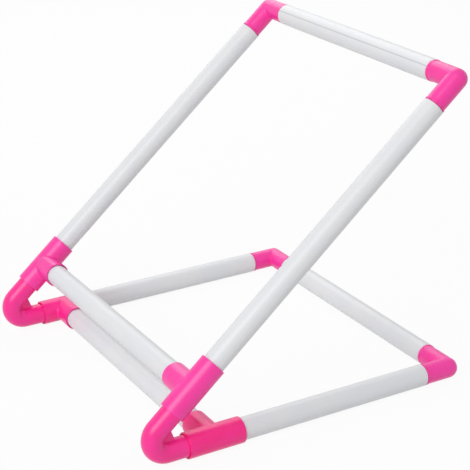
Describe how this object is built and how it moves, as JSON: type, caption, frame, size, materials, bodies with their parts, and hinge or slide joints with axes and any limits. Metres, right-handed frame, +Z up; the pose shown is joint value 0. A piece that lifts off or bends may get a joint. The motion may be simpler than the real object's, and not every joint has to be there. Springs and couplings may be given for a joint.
{
  "type": "embroidery frame stand",
  "caption": "Table stand that holds an embroidery frame leaning back over its base, made of round plastic tubes in push-fit tees, elbows and hairpin bends.",
  "frame": {"origin": "middle of the footprint on the table: midway between the outer faces of the side tees, and midway between the front of the bends and the back of the back bar, at the level of the table", "axes": "+Z up; +X to the worker's right, along the cross bars; +Y away from the worker, from the bends towards the back bar"},
  "size_m": [0.3324, 0.3226, 0.2948],
  "materials": {
    "pink_plastic": "glossy hot-pink moulded plastic",
    "white_plastic": "satin off-white extruded plastic tube"
  },
  "bodies": {
    "base_front": {"lower_left_tee": "pink_plastic", "lower_right_tee": "pink_plastic"},
    "lower_bar": {"lower_front_bar": "white_plastic"},
    "base_sides": {"base_left_tube": "white_plastic", "base_right_tube": "white_plastic"},
    "base_back": {"back_left_elbow": "pink_plastic", "back_right_elbow": "pink_plastic"},
    "rear_bar": {"back_bar": "white_plastic"},
    "bends": {"left_bend": "pink_plastic", "right_bend": "pink_plastic"},
    "upper_front": {"upper_left_tee": "pink_plastic", "upper_right_tee": "pink_plastic"},
    "upper_bar": {"upper_front_bar": "white_plastic"},
    "upper_sides": {"upper_left_tube": "white_plastic", "upper_right_tube": "white_plastic"},
    "upper_back": {"top_left_elbow": "pink_plastic", "top_right_elbow": "pink_plastic"},
    "high_bar": {"top_bar": "white_plastic"}
  },
  "joints": [
    {"name": "base_tubes_pull_out", "type": "slide", "parent": "base_front", "child": "base_sides", "axis": [0, 1, -0.0077], "range_m": [0, 0.03]},
    {"name": "back_elbows_pull_off", "type": "slide", "parent": "base_sides", "child": "base_back", "axis": [0, 1, -0.0077], "range_m": [0, 0.03]},
    {"name": "bends_pull_out", "type": "slide", "parent": "base_front", "child": "bends", "axis": [0, -1, 0.0077], "range_m": [0, 0.03]},
    {"name": "upper_frame_lifts_off", "type": "slide", "parent": "bends", "child": "upper_front", "axis": [0, 0.7665, 0.6422], "range_m": [0, 0.03]},
    {"name": "upper_tubes_pull_out", "type": "slide", "parent": "upper_front", "child": "upper_sides", "axis": [0, 0.7665, 0.6422], "range_m": [0, 0.03]},
    {"name": "top_elbows_pull_off", "type": "slide", "parent": "upper_sides", "child": "upper_back", "axis": [0, 0.7665, 0.6422], "range_m": [0, 0.03]},
    {"name": "lower_bar_turn", "type": "hinge", "parent": "base_front", "child": "lower_bar", "pos_m": [0, -0.09595, 0.01191], "axis": [1, 0, 0], "continuous": true},
    {"name": "back_bar_turn", "type": "hinge", "parent": "base_back", "child": "rear_bar", "pos_m": [0, 0.15095, 0.01], "axis": [1, 0, 0], "continuous": true},
    {"name": "upper_front_bar_turn", "type": "hinge", "parent": "upper_front", "child": "upper_bar", "pos_m": [0, -0.11309, 0.06298], "axis": [1, 0, 0], "continuous": true},
    {"name": "top_bar_turn", "type": "hinge", "parent": "upper_back", "child": "high_bar", "pos_m": [0, 0.15167, 0.2848], "axis": [1, 0, 0], "continuous": true}
  ]
}
